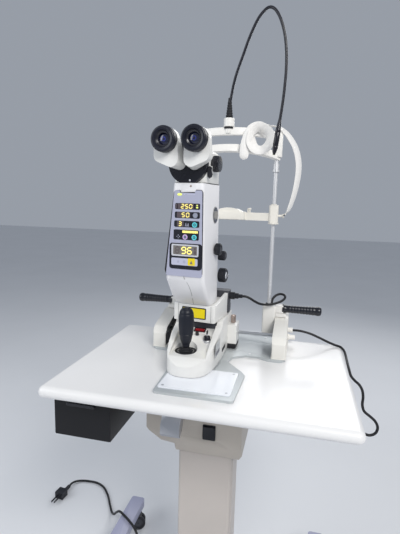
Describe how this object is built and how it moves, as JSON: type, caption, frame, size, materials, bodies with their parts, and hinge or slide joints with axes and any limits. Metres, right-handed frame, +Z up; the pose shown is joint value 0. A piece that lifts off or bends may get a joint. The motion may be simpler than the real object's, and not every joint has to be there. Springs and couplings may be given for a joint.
{
  "type": "slit lamp",
  "caption": "Ophthalmic slit lamp with a laser control tower, joystick base and headrest on a motorised instrument table with casters.",
  "frame": {"origin": "on the floor, under the centre of the tabletop", "axes": "+X to the operator's right, +Y from the operator towards the patient, +Z up"},
  "size_m": [1.0985, 0.6828, 1.6486],
  "materials": {
    "frame_paint": "satin",
    "column_beige": "satin",
    "cord_black": "satin",
    "mast_metal": "satin",
    "housing_beige": "matt",
    "table_white": "satin",
    "plate_grey": "satin",
    "slide_white": "gloss",
    "cover_white": "satin",
    "switch_black": "satin",
    "lever_grey": "satin",
    "drawer_black": "satin",
    "runner_metal": "satin",
    "pole_steel": "satin",
    "bracket_white": "satin",
    "grip_black": "satin",
    "frame_white": "satin",
    "chin_white": "satin",
    "belt_white": "matt",
    "gooseneck_black": "satin",
    "lamp_black": "satin",
    "guide_grey": "satin",
    "axle_steel": "satin",
    "base_white": "satin",
    "boot_black": "matt",
    "joystick_black": "satin",
    "switch_red": "gloss",
    "key_black": "satin",
    "knob_bronze": "satin",
    "pillar_grey": "satin",
    "arm_white": "satin",
    "tower_white": "satin",
    "panel_lilac": "satin",
    "head_white": "satin",
    "tube_white": "satin",
    "eyecup_black": "satin",
    "knob_black": "satin",
    "lamp_white": "satin",
    "button_grey": "satin",
    "caster_black": "satin",
    "tyre_grey": "matt"
  },
  "bodies": {
    "stand": {"floor_frame": "frame_paint", "outer_column": "column_beige", "mains_lead": "cord_black", "mains_plug": "cord_black"},
    "caster_1": {"caster_fork_1": "caster_black"},
    "wheel_1": {"caster_wheel_1": "tyre_grey"},
    "caster_2": {"caster_fork_2": "caster_black"},
    "wheel_2": {"caster_wheel_2": "tyre_grey"},
    "caster_3": {"caster_fork_3": "caster_black"},
    "wheel_3": {"caster_wheel_3": "tyre_grey"},
    "caster_4": {"caster_fork_4": "caster_black"},
    "wheel_4": {"caster_wheel_4": "tyre_grey"},
    "table": {"lift_mast": "mast_metal", "under_housing": "housing_beige", "tabletop": "table_white", "base_plate": "plate_grey", "slide_plate": "slide_white", "rail_covers": "cover_white", "drawer_runners": "runner_metal", "headrest_poles": "pole_steel", "pole_brackets": "bracket_white", "hand_grips": "grip_black", "forehead_frame": "frame_white", "head_belt": "belt_white", "data_lead": "cord_black", "signal_lead": "cord_black"},
    "rocker": {"rocker_switch": "switch_black"},
    "lever": {"release_lever": "lever_grey"},
    "drawer_tray": {"drawer": "drawer_black"},
    "chin": {"chin_rest": "chin_white"},
    "fixation": {"fixation_arm": "gooseneck_black", "fixation_lamp": "lamp_black"},
    "carriage": {"axle_guides": "guide_grey"},
    "axle": {"drive_axle": "axle_steel"},
    "base": {"base_body": "base_white"},
    "gimbal": {"joystick_gimbal": "boot_black"},
    "stick": {"joystick_stem": "boot_black"},
    "stick_grip": {"joystick": "joystick_black"},
    "power_rocker": {"red_switch": "switch_red"},
    "key": {"key_switch": "key_black"},
    "lock": {"lock_screw": "knob_bronze"},
    "riser": {"pillar": "pillar_grey", "signal_plug": "cord_black"},
    "microscope": {"scope_arm": "arm_white", "tower_shell": "tower_white", "control_panel": "panel_lilac", "head_housing": "head_white"},
    "left_binocular": {"left_tube": "tube_white"},
    "right_binocular": {"right_tube": "tube_white"},
    "left_eye": {"left_eyepiece": "eyecup_black"},
    "right_eye": {"right_eyepiece": "eyecup_black"},
    "magnifier": {"mag_drum": "knob_black"},
    "side_lever": {"head_lever": "knob_black"},
    "spot_dial": {"spot_knob": "knob_black"},
    "lamp": {"lamp_arm": "lamp_white"},
    "slit_dial": {"slit_knob": "knob_black"},
    "filter_dial": {"filter_knob": "knob_black"},
    "mode_key": {"mode_button": "button_grey"},
    "minus_key": {"minus_button": "button_grey"},
    "plus_key": {"plus_button": "button_grey"}
  },
  "joints": [
    {"name": "caster_swivel_1", "type": "hinge", "parent": "stand", "child": "caster_1", "pos_m": [-0.316, -0.225, 0.055], "axis": [0, 0, 1], "continuous": true},
    {"name": "caster_roll_1", "type": "hinge", "parent": "caster_1", "child": "wheel_1", "pos_m": [-0.29861, -0.22034, 0.025], "axis": [-0.2588, 0.9659, 0], "continuous": true},
    {"name": "caster_swivel_2", "type": "hinge", "parent": "stand", "child": "caster_2", "pos_m": [0.316, -0.225, 0.055], "axis": [0, 0, 1], "continuous": true},
    {"name": "caster_roll_2", "type": "hinge", "parent": "caster_2", "child": "wheel_2", "pos_m": [0.29861, -0.22034, 0.025], "axis": [-0.2588, -0.9659, 0], "continuous": true},
    {"name": "caster_swivel_3", "type": "hinge", "parent": "stand", "child": "caster_3", "pos_m": [-0.316, 0.225, 0.055], "axis": [0, 0, 1], "continuous": true},
    {"name": "caster_roll_3", "type": "hinge", "parent": "caster_3", "child": "wheel_3", "pos_m": [-0.29909, 0.23116, 0.025], "axis": [-0.342, 0.9397, 0], "continuous": true},
    {"name": "caster_swivel_4", "type": "hinge", "parent": "stand", "child": "caster_4", "pos_m": [0.316, 0.225, 0.055], "axis": [0, 0, 1], "continuous": true},
    {"name": "caster_roll_4", "type": "hinge", "parent": "caster_4", "child": "wheel_4", "pos_m": [0.29909, 0.23116, 0.025], "axis": [-0.342, -0.9397, 0], "continuous": true},
    {"name": "table_lift", "type": "slide", "parent": "stand", "child": "table", "axis": [0, 0, 1], "range_m": [0, 0.2]},
    {"name": "lift_rocker", "type": "hinge", "parent": "table", "child": "rocker", "pos_m": [0.018, -0.099, 0.61], "axis": [1, 0, 0], "range_deg": [-8, 8], "stiffness_Nm_per_rad": 0.3},
    {"name": "release_lever_pull", "type": "hinge", "parent": "table", "child": "lever", "pos_m": [-0.068, -0.084, 0.696], "axis": [-1, 0, 0], "range_deg": [0, 14], "stiffness_Nm_per_rad": 1, "springref_deg": -5.73},
    {"name": "drawer_slide", "type": "slide", "parent": "table", "child": "drawer_tray", "axis": [0, -1, 0], "range_m": [0, 0.18]},
    {"name": "chin_height", "type": "slide", "parent": "table", "child": "chin", "axis": [0, 0, 1], "range_m": [-0.03, 0.03]},
    {"name": "fixation_swivel", "type": "hinge", "parent": "table", "child": "fixation", "pos_m": [0, 0.129, 1.376], "axis": [0, 0, 1], "range_deg": [-20, 25]},
    {"name": "base_y", "type": "slide", "parent": "table", "child": "carriage", "axis": [0, 1, 0], "range_m": [-0.055, 0.01]},
    {"name": "axle_roll", "type": "hinge", "parent": "carriage", "child": "axle", "pos_m": [0, 0.14, 0.797], "axis": [1, 0, 0], "range_deg": [-52, 282]},
    {"name": "base_x", "type": "slide", "parent": "carriage", "child": "base", "axis": [1, 0, 0], "range_m": [-0.028, 0.09]},
    {"name": "joystick_tilt_y", "type": "hinge", "parent": "base", "child": "gimbal", "pos_m": [-0.055, -0.066, 0.794], "axis": [1, 0, 0], "range_deg": [-10, 10]},
    {"name": "joystick_tilt_x", "type": "hinge", "parent": "gimbal", "child": "stick", "pos_m": [-0.055, -0.066, 0.794], "axis": [0, 1, 0], "range_deg": [-10, 10]},
    {"name": "joystick_twist", "type": "hinge", "parent": "stick", "child": "stick_grip", "pos_m": [-0.055, -0.066, 0.794], "axis": [0, 0, 1], "range_deg": [0, 936]},
    {"name": "power_switch", "type": "hinge", "parent": "base", "child": "power_rocker", "pos_m": [-0.036, 0.004, 0.833], "axis": [1, 0, 0], "range_deg": [0, 14]},
    {"name": "key_turn", "type": "hinge", "parent": "base", "child": "key", "pos_m": [-0.009, -0.03, 0.8105], "axis": [0, 0, -1], "range_deg": [0, 90]},
    {"name": "lock_turn", "type": "hinge", "parent": "base", "child": "lock", "pos_m": [0.032, 0.134, 0.809], "axis": [0, 0, 1], "range_deg": [0, 180]},
    {"name": "elevation", "type": "slide", "parent": "base", "child": "riser", "axis": [0, 0, 1], "range_m": [0, 0.026], "deforming": ["signal_lead"]},
    {"name": "microscope_swing", "type": "hinge", "parent": "riser", "child": "microscope", "pos_m": [-0.042, 0.115, 0.87], "axis": [0, 0, 1], "range_deg": [-18, 10]},
    {"name": "left_tube_swing", "type": "hinge", "parent": "microscope", "child": "left_binocular", "pos_m": [-0.06333, -0.0587, 1.258], "axis": [0.1219, 0.9925, 0], "range_deg": [-3, 3]},
    {"name": "right_tube_swing", "type": "hinge", "parent": "microscope", "child": "right_binocular", "pos_m": [-0.06333, -0.0587, 1.258], "axis": [0.1219, 0.9925, 0], "range_deg": [-3, 3]},
    {"name": "left_dioptre", "type": "hinge", "parent": "left_binocular", "child": "left_eye", "pos_m": [-0.107, -0.11076, 1.306], "axis": [0.1219, 0.9925, 0], "range_deg": [-60, 60]},
    {"name": "right_dioptre", "type": "hinge", "parent": "right_binocular", "child": "right_eye", "pos_m": [-0.03355, -0.11978, 1.306], "axis": [0.1219, 0.9925, 0], "range_deg": [-60, 60]},
    {"name": "magnification", "type": "hinge", "parent": "microscope", "child": "magnifier", "pos_m": [-0.01332, 0.00065, 1.2615], "axis": [0.9925, -0.1219, 0], "range_deg": [-144, 144]},
    {"name": "head_lever_turn", "type": "hinge", "parent": "microscope", "child": "side_lever", "pos_m": [-0.01168, -0.04015, 1.247], "axis": [0.1219, 0.9925, 0], "range_deg": [-50, 0]},
    {"name": "spot_size", "type": "hinge", "parent": "microscope", "child": "spot_dial", "pos_m": [-0.00369, 0.02164, 1.049], "axis": [0.9925, -0.1219, 0], "range_deg": [-135, 135]},
    {"name": "lamp_swing", "type": "hinge", "parent": "riser", "child": "lamp", "pos_m": [-0.042, 0.115, 0.93], "axis": [0, 0, 1], "range_deg": [-8, 20]},
    {"name": "slit_width", "type": "hinge", "parent": "lamp", "child": "slit_dial", "pos_m": [-0.00423, 0.08618, 0.971], "axis": [0.9925, -0.1219, 0], "range_deg": [-90, 90]},
    {"name": "filter_select", "type": "hinge", "parent": "lamp", "child": "filter_dial", "pos_m": [-0.0082, 0.08667, 1.025], "axis": [0.9925, -0.1219, 0], "range_deg": [-120, 120]},
    {"name": "mode_press", "type": "slide", "parent": "microscope", "child": "mode_key", "axis": [0.1219, 0.9925, 0], "range_m": [0, 0.0013], "stiffness_N_per_m": 400, "springref_m": -0.001},
    {"name": "minus_press", "type": "slide", "parent": "microscope", "child": "minus_key", "axis": [0.1219, 0.9925, 0], "range_m": [0, 0.0013], "stiffness_N_per_m": 400, "springref_m": -0.001},
    {"name": "plus_press", "type": "slide", "parent": "microscope", "child": "plus_key", "axis": [0.1219, 0.9925, 0], "range_m": [0, 0.0013], "stiffness_N_per_m": 400, "springref_m": -0.001}
  ],
  "couplings": [
    {"joint": "axle_roll", "follows": "base_y", "rad_per_m": -88.889},
    {"joint": "joystick_twist", "follows": "elevation", "rad_per_m": 628.3},
    {"joint": "right_tube_swing", "follows": "left_tube_swing", "ratio": -1}
  ]
}
